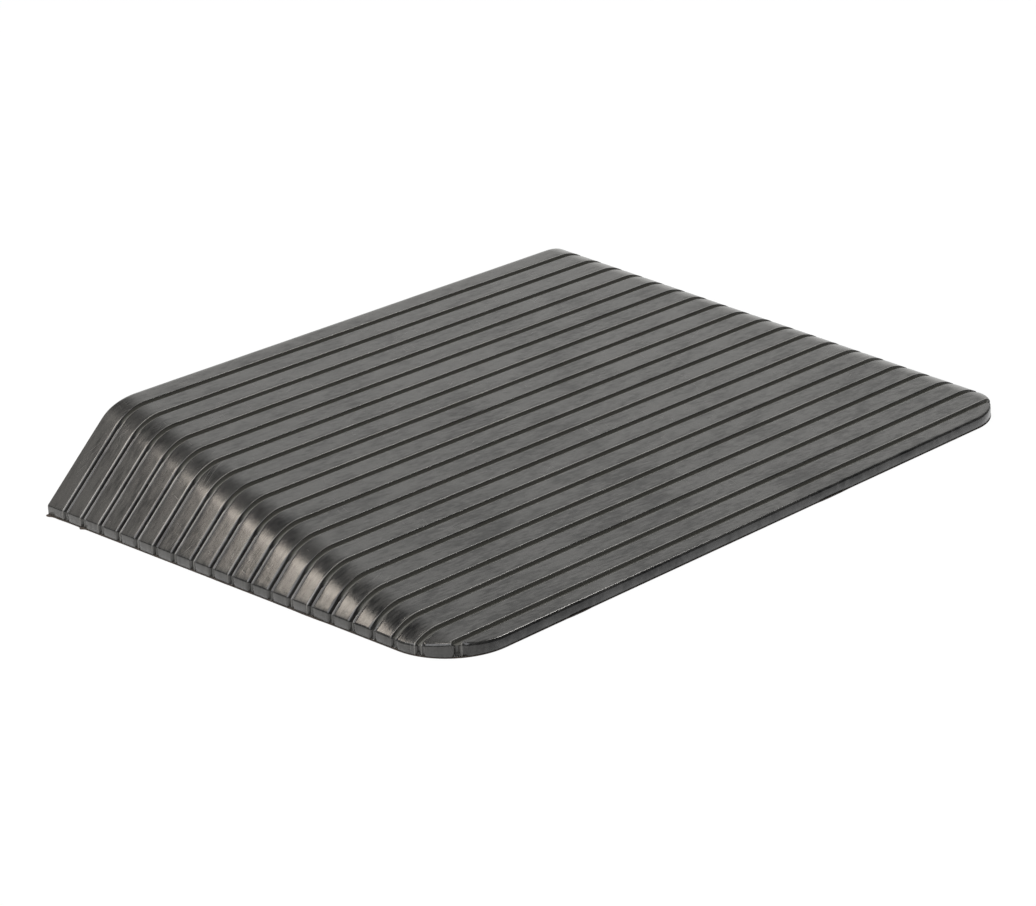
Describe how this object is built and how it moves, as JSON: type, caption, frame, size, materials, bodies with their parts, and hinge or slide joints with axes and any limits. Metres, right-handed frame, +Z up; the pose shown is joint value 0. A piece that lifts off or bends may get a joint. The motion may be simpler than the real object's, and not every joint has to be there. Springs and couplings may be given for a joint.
{
  "type": "threshold ramp",
  "caption": "Low rubber wedge ramp with a cross-ribbed deck, sloping side wings, rounded toe corners and an upright rear face, for wheeling over a door sill or step.",
  "frame": {"origin": "on the floor under the middle of the ramp", "axes": "+Z up, +X across the ramp along its ribs, +Y from the toe edge to the upright rear face"},
  "size_m": [0.87, 0.592, 0.1],
  "materials": {
    "tread_rubber": "dense black rubber straight from the mould, satin, with faint scuffs and flow marks",
    "crumb_rubber": "pressed recycled rubber crumb, coarse and matt, a brownish black",
    "grip_rubber": "soft matt grey-black rubber sheet"
  },
  "bodies": {
    "root": {"tread_skin": "tread_rubber", "crumb_core": "crumb_rubber", "toe_grip_strip": "grip_rubber", "middle_grip_strip": "grip_rubber", "rear_grip_strip": "grip_rubber"}
  },
  "joints": []
}
